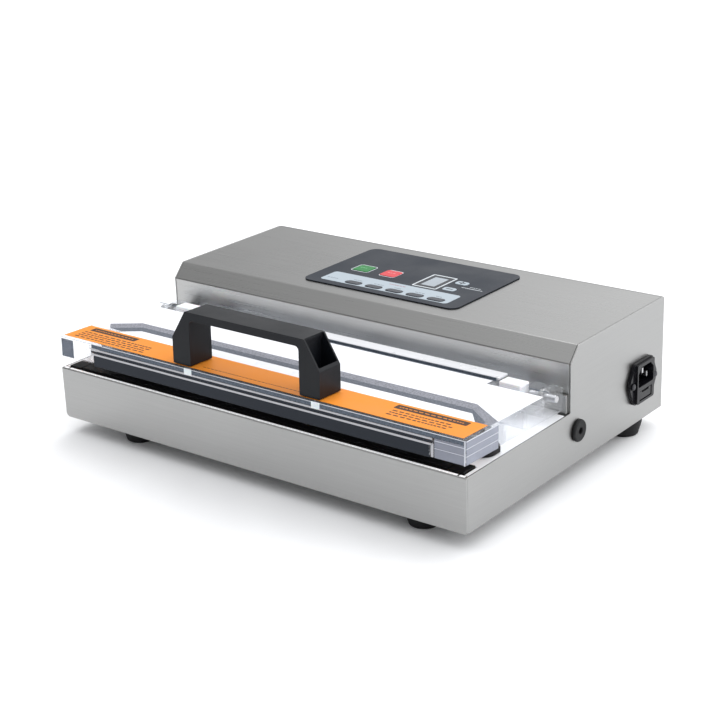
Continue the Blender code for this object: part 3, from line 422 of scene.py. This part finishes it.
def print_layer(name, shapes, holes, z, body, shown_as, on_lid=False, thick=FILM):
    """A thin printed layer: closed outlines at one height, with holes cut through them."""
    curve = bpy.data.curves.new(name, "CURVE")
    curve.dimensions = "2D"
    curve.fill_mode = "BOTH"
    curve.extrude = thick / 2 * MM
    for outline in [*shapes, *holes]:
        spline = curve.splines.new("POLY")
        spline.points.add(len(outline) - 1)
        spline.use_cyclic_u = True
        for point, (x, y) in zip(spline.points, outline):
            point.co = (x * MM, y * MM, 0.0, 1.0)
    temporary = bpy.data.objects.new(name, curve)
    mesh = bpy.data.meshes.new_from_object(temporary)
    bpy.data.objects.remove(temporary)
    place = Matrix.Translation(at(0, 0, z + thick / 2))
    mesh.transform(LID @ place if on_lid else place)
    bm = bmesh.new()
    bm.from_mesh(mesh)
    bmesh.ops.remove_doubles(bm, verts=bm.verts[:], dist=1e-7)
    bm.to_mesh(mesh)
    bm.free()
    obj = bpy.data.objects.new(name, mesh)
    bpy.context.scene.collection.objects.link(obj)
    return finish_mesh(obj, body, shown_as, 0.0, 0)


def bars(x0, x1, y0, y1, rows, marks, seed):
    """Rows of short bars of uneven length, which stand for small print."""
    outlines = []
    pitch = (y1 - y0) / rows
    for row in range(rows):
        y = y1 - pitch * (row + 0.5)
        x = x0
        for mark in range(marks):
            turn = math.sin(12.9898 * (mark + 1) + 78.233 * (row + seed))
            step = (x1 - x0) / marks * (1.0 + 0.45 * turn)
            end = min(x + step * 0.72, x1)
            if end - x > 0.4:
                outlines.append([(x, y - pitch * 0.2), (end, y - pitch * 0.2),
                                 (end, y + pitch * 0.2), (x, y + pitch * 0.2)])
            x += step
            if x >= x1:
                break
    return outlines


def frame_line(cx, cy, width, depth, radius, line):
    """Outer and inner outline of a printed frame."""
    outer = rounded(cx, cy, width, depth, radius)
    inner = rounded(cx, cy, width - 2 * line, depth - 2 * line, max(radius - line, 0.1))
    return outer, inner


# ---------------------------------------------------------------- casing

def dress_casing():
    for node in ("rear_panel", "bottom_plate"):
        refine(node, "steel_x", 0.25)
    # the housing cover's steel has painted shade on its top and painted light on its vertical faces
    refine("housing_cover", "steel_cover_painted_light_and_shade", 0.25)
    # the front panel's steel is painted lighter than the side panels', painted light
    refine("front_panel", "steel_front_painted_lighter", 0.25)
    # Painted highlight: a thin glowing white strip along the front panel's top lip, where the lit steel
    # edge shines
    bm = bmesh.new()
    for x0, x1 in ((-183.2, -178.9), (-177.3, 177.3), (178.9, 183.2)):
        block(bm, x0, x1, 0.7, 2.6, 40.02, 40.12)
    piece("front_lip_painted_highlight", bm, "base", "painted_highlight_glow")
    for node in ("side_panel_left", "side_panel_right"):
        refine(node, "steel_y", 0.25)
    refine("deck_plate", "white_deck", 0.3)
    refine("vacuum_trough", "white_deck", 0.4)
    for side in ("left", "right"):
        refine(f"hinge_bracket_{side}", "steel_y", 0.3)
        refine(f"hinge_pin_{side}", "zinc", 0.3)
        refine(f"seal_bar_end_{side}", "bed", 0.5, 3)
    for place in ("front_left", "front_right", "rear_left", "rear_right"):
        refine(f"foot_{place}", "rubber", 0.5, 3)
        refine(f"foot_screw_{place}", "zinc", 0.2)
    refine("deck_gasket", "rubber", 1.2, 4)
    refine("seal_bar_body", "bed", 0.4)
    refine("ptfe_cover", "bed", 0.0)


# ---------------------------------------------------------------- lid

def dress_lid():
    refine("lid_shell", "clear", 0.5, 3)
    refine("lid_rear_strip", "frosted", 0.4, 2)
    refine("lid_gasket", "grey_foam", 0.4)
    refine("press_bar_holder", "dark_bar", 0.3)
    refine("press_strip", "rubber", 0.5)
    refine("lid_handle", "handle", 0.8, 4)
    for side in ("left", "right"):
        refine(f"lid_stop_block_{side}", "white_plastic", 0.9, 4)
        refine(f"handle_screw_{side}", "zinc", 0.2)


def make_lid_details():
    """Strips and panes on the lid's front and right edges, and bands and a whitish layer on its top; the
    panes are painted shade, the thin edge strips painted highlights and shade lines, and the whitish layer
    painted light.
    """
    def strip(name, shown_as, boxes, bevel=0.0):
        bm = bmesh.new()
        for sides in boxes:
            block(bm, *sides)
        return piece(name, bm, "lid", shown_as, bevel, on_lid=True)

    def layer(name, shapes, shown_as, holes=()):
        print_layer(name, shapes, holes, ON_LID, "lid", shown_as, True)

    bar_left, bar_right = -152.0, 158.6
    face, corner, edge = (0.66, 0.96), (0.60, 0.95), (0.5, 0.8)
    side, side_reach = (LID_SIDE - 0.3, LID_SIDE), (1.2, 38.0)
    strip("lid_front_foam", "slate_foam_and_painted_shade", [(-151.0, 182.6, *face, 58.2, 61.4)])
    strip("press_bar_channel", "bright_trim",
          [(bar_left, bar_right, *face, 56.5, 57.9), (bar_left, bar_right, *face, 52.7, 54.2),
           (157.6, 159.6, *face, 44.8, 54.2)], 0.1)
    strip("press_bar_groove", "dark_bar", [(bar_left, bar_right, 0.76, 0.96, 54.5, 56.2)])
    strip("handle_bosses", "white_plastic",
          [(x, x + 7.2, 0.3, 0.6, 57.0, 61.8) for x in (-56.8, 59.6)], 0.1)
    strip("rear_strip_shade", "slate_foam_and_painted_shade", [(-140.8, 139.0, 105.0, 105.3, 62.05, 63.9)])
    # Painted shade: a dark band on the lid top in front of the rear strip, widening the shade of its front
    # face
    strip("rear_strip_painted_shade_band", "slate_foam_and_painted_shade", [(-140.8, 139.0, 103.9, 105.2, 61.93, 62.1)])
    # Painted highlights: thin light grey strips along the lid's front top edge, its front-right corner and
    # right side
    strip("lid_corner_painted_highlights", "painted_edge_lines",
          [(-183.4, 183.4, *edge, 61.1, 61.5), (160.6, 183.6, *edge, 56.3, 56.7),
           (160.6, 183.6, *edge, 51.2, 51.5), (*side, *side_reach, 60.8, 61.3),
           (*side, *side_reach, 55.8, 56.1), (*side, *side_reach, 50.6, 50.9),
           (183.4, 184.0, 0.5, 1.2, 44.5, 61.3)])
    # Painted shade: grey-blue panes inside the clear lid's front-right corner and right side, and a darker
    # one at its front-left corner
    strip("lid_corner_painted_shade", "painted_shade_pane",
          [(160.4, 183.4, *corner, 44.8, 58.0),
           (LID_SIDE - 0.4, LID_SIDE - 0.1, 1.3, 38.0, 44.8, 61.0)])
    strip("lid_left_painted_shade", "painted_dark_shade_pane", [(-183.4, -171.0, *corner, 46.0, 60.0)])
    # Dark lines along the front of the hinge blocks
    strip("hinge_block_dark_lines", "slate_foam_and_painted_shade",
          [(165.0, 181.0, 104.8, 105.4, 61.95, 62.2), (-181.0, -165.0, 104.8, 105.4, 61.95, 62.2)])

    rim = [(182.6, 31.0), (182.6, 40.5), (154.0, 59.3), (-154.0, 58.0), (-173.7, 43.0), (-168.0, 36.7)]
    step = [(177.6, 31.0), (176.2, 35.0), (157.0, 49.6), (-146.0, 50.2), (-166.0, 35.2)]
    foot = [(171.0, 31.0), (161.0, 42.9), (-140.0, 42.9), (-152.0, 34.0)]
    back = [(-182.6, 96.0), (-137.0, 96.0), (-137.0, 103.7), (137.0, 103.7), (137.0, 96.0), (182.6, 96.0)]
    # Lines on the lid top along its left walls, painted shade lines that are cut out of the whitish layer
    edges = [[(-177.4, 47.6), (-176.6, 47.6), (-182.0, 104.0), (-182.8, 104.0)],
             [(-163.9, 59.5), (-163.1, 59.5), (-167.6, 104.0), (-168.4, 104.0)]]
    layer("chamber_rim", [rim + step[::-1]], "light_foam")
    # A darker band on the lid top for the deck gasket's front face seen through the lid: partly its own
    # dark rubber, partly painted shade
    layer("chamber_seal_line", [step + foot[::-1]], "grey_foam")
    # Painted light: whitish layers on the lid top inside the chamber outline and over its rear part
    layer("chamber_painted_light", [foot + [(-152.0, 31.0)]], "painted_light_veil")
    layer("lid_top_painted_light", [rim[1:5] + [(-182.6, 43.0)] + back], "painted_light_veil", edges)
    layer("lid_left_painted_shade_lines", edges, "painted_edge_lines")


def make_label():
    left, right, front, rear = LABEL
    sheet = [(left, front), (right, front), (right, rear), (left, rear)]
    label = print_layer("lid_label", [sheet], [], ON_LID, "lid", "label", True, LABEL_THICK)
    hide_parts("lid_sticker")
    shapes, holes = [], []
    for x0, x1 in ((-174.0, -127.5), (112.5, 170.5)):
        middle, width = (x0 + x1) / 2, x1 - x0
        shapes.append(rounded(middle, 24.8, width, 6.6, 0.8))
        holes += bars(x0 + 3.0, x1 - 3.0, 23.4, 26.2, 1, 15, x0)
    shapes += bars(-175.0, -104.0, 5.5, 19.5, 4, 16, 2.0)
    shapes += bars(115.0, 166.0, 8.5, 19.5, 3, 13, 5.0)
    shapes += bars(-46.0, 44.0, 8.3, 9.9, 1, 34, 9.0)
    print_layer("lid_label_print", shapes, holes, ON_LID + LABEL_THICK, "lid", "label_ink", True)


# ---------------------------------------------------------------- controls

def dress_panel():
    refine("control_overlay", "film", 0.2)
    refine("display_window", "screen", 0.2)
    refine("key_start", "green", 0.35, 3)
    refine("key_stop", "red", 0.35, 3)
    for key in ("key_plus", "key_minus"):
        refine(key, "band", 0.35, 3)
    for i in range(PROGRAM_KEYS):
        refine(f"key_program_{i + 1}", "key_grey", 0.6, 4)
    z = ON_PANEL
    oval_holes, rims, rim_holes = [], [], []
    for i in range(PROGRAM_KEYS):
        x = PROGRAM_X + PROGRAM_PITCH * i
        oval_holes.append(rounded(x, PROGRAM_Y, 15.4, 7.5, 3.7))
        outer, inner = frame_line(x, PROGRAM_Y, 15.2, 7.3, 3.6, 0.6)
        rims.append(outer)
        rim_holes.append(inner)
    band = rounded(0.0, 170.0, 119.0, 21.0, 3.0)
    print_layer("panel_band", [band], oval_holes, z, "base", "band")
    print_layer("panel_key_rims", rims, rim_holes, z, "base", "film_dark")
    shapes = bars(-56.5, -44.5, 165.0, 167.0, 1, 5, 3.0)
    for i in range(PROGRAM_KEYS):
        x = PROGRAM_X + PROGRAM_PITCH * i
        shapes += bars(x - 4.0, x + 5.0, 169.6, 171.4, 1, 4, 4.0 + i)
    print_layer("panel_band_print", shapes, [], z + FILM, "base", "grey_ink")
    heading = bars(-4.0, 16.0, 175.2, 177.2, 1, 7, 8.0)
    print_layer("panel_band_heading", heading, [], z + FILM, "base", "red_ink")

    shapes, holes = [], []
    for cx, cy, width, depth, radius, line in ((-44.5, 197.3, 17.2, 16.2, 3.0, 0.7),
                                               (-18.3, 197.3, 15.0, 16.2, 3.0, 0.7),
                                               (22.3, 198.6, 22.6, 31.0, 1.6, 1.5)):
        outer, inner = frame_line(cx, cy, width, depth, radius, line)
        shapes.append(outer)
        holes.append(inner)
    shapes += bars(53.0, 66.0, 200.2, 202.0, 1, 5, 6.0)
    shapes.append([(47.5, 197.6), (66.0, 197.6), (66.0, 198.4), (47.5, 198.4)])
    print_layer("panel_white_print", shapes, holes, z, "base", "white_ink")
    outer, inner = frame_line(22.3, 198.6, 19.4, 27.4, 1.2, 3.4)
    print_layer("display_border", [outer], [inner], z + FILM, "base", "film_dark")

    key_top = (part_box("key_start")[1].z - CASE.z) / MM + 0.01
    start = bars(-49.0, -40.0, 196.4, 199.6, 1, 3, 1.0)
    print_layer("key_start_print", start, [], key_top, "start_button", "green_light")
    stop = bars(-22.0, -14.6, 196.4, 199.6, 1, 3, 2.0)
    print_layer("key_stop_print", stop, [], key_top, "stop_button", "red_light")
    plus = [[(39.5, 205.4), (45.5, 205.4), (45.5, 206.6), (39.5, 206.6)],
            [(41.9, 203.6), (43.1, 203.6), (43.1, 205.4), (41.9, 205.4)],
            [(41.9, 206.6), (43.1, 206.6), (43.1, 208.4), (41.9, 208.4)]]
    print_layer("key_plus_print", plus, [], key_top, "plus_button", "film_dark")
    minus = [[(39.3, 188.6), (45.3, 188.6), (45.3, 189.8), (39.3, 189.8)]]
    print_layer("key_minus_print", minus, [], key_top, "minus_button", "film_dark")


# ---------------------------------------------------------------- inlet and port

def dress_inlet():
    refine("power_inlet", "gloss_black", 0.5, 3)
    refine("fuse_drawer", "gloss_black", 0.3)
    for side in ("front", "rear"):
        refine(f"inlet_screw_{side}", "dark_screw", 0.2)
    refine("accessory_port", "rubber", 0.7, 4)
    low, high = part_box("power_inlet")
    face = (high.x - CASE.x) / MM
    middle = (high.y + low.y) / 2
    y = (middle - CASE.y) / MM
    bm = bmesh.new()
    for dy, z, width, height in ((-6.6, 35.8, 2.0, 4.0), (6.6, 35.8, 2.0, 4.0), (0.0, 40.2, 2.0, 4.0)):
        outline = rounded(y + dy, z, width, height, 0.4, 3)
        extrude(bm, outline, "X", face - 16.3, face - 3.0)
    piece("inlet_blades", bm, "base", "zinc", 0.2)


def dress_hidden():
    """The sealed inner nodes keep their shapes and take detailed materials."""
    by_slot = {"steel": "steel_x", "zinc": "zinc", "black_plastic": "bed", "board": "board",
               "nichrome": "nichrome", "lamination": "lamination", "motor_can": "motor_can",
               "cast_alloy": "cast_alloy", "hose": "hose", "black_rubber": "rubber"}
    for name, node in frame["nodes"].items():
        if not node.hide_render:
            node.data.materials.clear()
            node.data.materials.append(MATERIALS[by_slot[SLOT_OF[name]]])


# ---------------------------------------------------------------- stage, light and camera

def make_stage():
    mesh = bpy.data.meshes.new("floor")
    reach = 6.0
    corners = [(-reach, -reach, 0.0), (reach, -reach, 0.0), (reach, reach, 0.0), (-reach, reach, 0.0)]
    mesh.from_pydata(corners, [], [(0, 1, 2, 3)])
    floor = bpy.data.objects.new("floor", mesh)
    bpy.context.scene.collection.objects.link(floor)
    mesh.materials.append(textured("floor_white", (0.975, 0.98, 0.99), 0.6, grain=300, strength=0.02,
                                   variation=0.005, Emission_Color=(0.97, 0.98, 1.0, 1.0),
                                   Emission_Strength=0.01))


def make_world():
    """White surround for the camera; reflections see it darken to the left and low in front."""
    world = bpy.data.worlds.new("studio")
    bpy.context.scene.world = world
    world.use_nodes = True
    tree = world.node_tree
    background = tree.nodes["Background"]
    direction = tree.nodes.new("ShaderNodeTexCoord")
    parts = tree.nodes.new("ShaderNodeSeparateXYZ")
    tree.links.new(direction.outputs["Generated"], parts.inputs["Vector"])
    depth = tree.nodes.new("ShaderNodeMath")
    depth.operation = "MULTIPLY_ADD"
    depth.inputs[1].default_value = 0.9
    tree.links.new(parts.outputs["Z"], depth.inputs[0])
    tree.links.new(parts.outputs["Y"], depth.inputs[2])
    sideways = spread(tree, parts.outputs["X"], 0.60, 1.55, -0.72, -0.36)
    forward = spread(tree, depth.outputs["Value"], 0.22, 1.0, -0.5, 0.3)
    both = tree.nodes.new("ShaderNodeMath")
    both.operation = "MULTIPLY"
    for socket, value in zip(both.inputs, (sideways, forward)):
        value.node.interpolation_type = "SMOOTHSTEP"
        tree.links.new(value, socket)
    ray = tree.nodes.new("ShaderNodeLightPath")
    choose = tree.nodes.new("ShaderNodeMix")
    choose.inputs["B"].default_value = 1.05
    tree.links.new(ray.outputs["Is Camera Ray"], choose.inputs["Factor"])
    tree.links.new(both.outputs["Value"], choose.inputs["A"])
    background.inputs["Color"].default_value = (0.985, 0.99, 1.0, 1.0)
    tree.links.new(choose.outputs["Result"], background.inputs["Strength"])


def area_light(name, place, target, size, power):
    """A square lamp turned towards a point."""
    data = bpy.data.lights.new(name, "AREA")
    data.shape = "SQUARE"
    data.size = size
    data.energy = power
    light = bpy.data.objects.new(name, data)
    light.location = place
    aim = Vector(target) - Vector(place)
    light.rotation_mode = "QUATERNION"
    light.rotation_quaternion = aim.to_track_quat("-Z", "Y")
    bpy.context.scene.collection.objects.link(light)


def make_lights():
    area_light("key_light", (-0.35, 0.9, 1.9), (0.0, 0.0, 0.0), 1.3, 10.0)
    area_light("side_light", (1.5, 0.6, 1.2), (0.0, 0.0, 0.05), 1.2, 3.5)


def make_camera():
    data = bpy.data.cameras.new("camera")
    data.lens = CAMERA_LENS
    data.sensor_width = 36.0
    data.clip_start = 0.01
    camera = bpy.data.objects.new("camera", data)
    azimuth, elevation = math.radians(CAMERA_AZIMUTH), math.radians(CAMERA_ELEVATION)
    back = Vector((math.sin(azimuth) * math.cos(elevation), -math.cos(azimuth) * math.cos(elevation),
                   math.sin(elevation)))
    roll = Matrix.Rotation(math.radians(CAMERA_ROLL), 4, "Z")
    turn = (-back).to_track_quat("-Z", "Y").to_matrix().to_4x4()
    camera.matrix_world = Matrix.Translation(Vector(CAMERA_PLACE)) @ turn @ roll
    bpy.context.scene.collection.objects.link(camera)
    bpy.context.scene.camera = camera


make_camera()
MATERIALS = make_materials()
dress_casing()
dress_lid()
make_lid_details()
make_label()
dress_panel()
dress_inlet()
dress_hidden()
make_stage()
make_world()
make_lights()
bpy.context.scene.view_settings.view_transform = "Standard"
